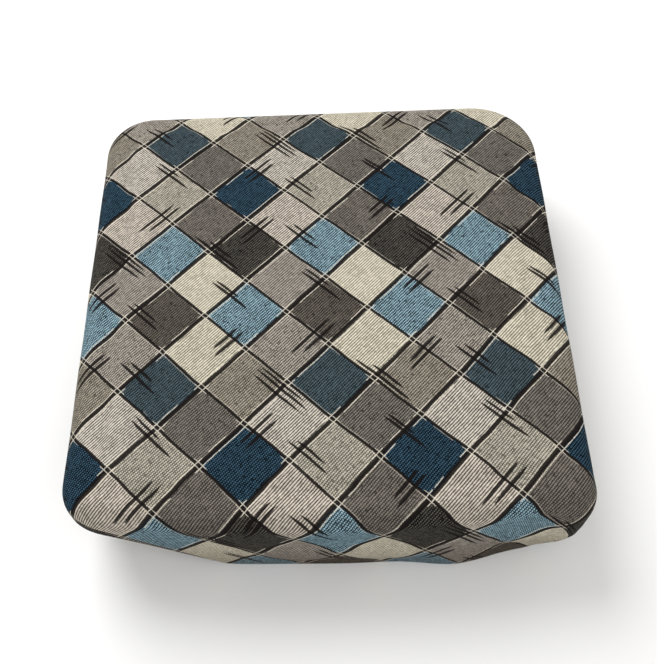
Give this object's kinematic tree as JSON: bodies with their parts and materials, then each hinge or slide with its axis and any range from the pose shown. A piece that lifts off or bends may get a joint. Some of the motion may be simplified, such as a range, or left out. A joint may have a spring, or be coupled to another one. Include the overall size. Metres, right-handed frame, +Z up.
{
  "type": "chair seat pad",
  "caption": "Upholstered drop-on chair seat pad: plywood board, foam, wadding and a woven diamond-pattern cover, bolted from below.",
  "frame": {"origin": "centre of the pad's underside, on the plane it rests on", "axes": "+Z up, -Y to the pad's bowed front edge, +Y to its straight back edge, +X to the sitter's left as they face forward"},
  "size_m": [0.4178, 0.428, 0.1],
  "materials": {
    "cover": "matte",
    "wadding": "matte",
    "foam_topper": "matte",
    "foam_core": "matte",
    "seat_board": "matte",
    "t_nuts": "satin",
    "cover_staples": "satin",
    "dust_cover": "matte",
    "dust_cover_staples": "satin"
  },
  "bodies": {
    "root": {"cover": "cover", "wadding": "wadding", "foam_topper": "foam_topper", "foam_core": "foam_core", "seat_board": "seat_board", "t_nuts": "t_nuts", "cover_staples": "cover_staples", "dust_cover": "dust_cover", "dust_cover_staples": "dust_cover_staples"}
  },
  "joints": []
}
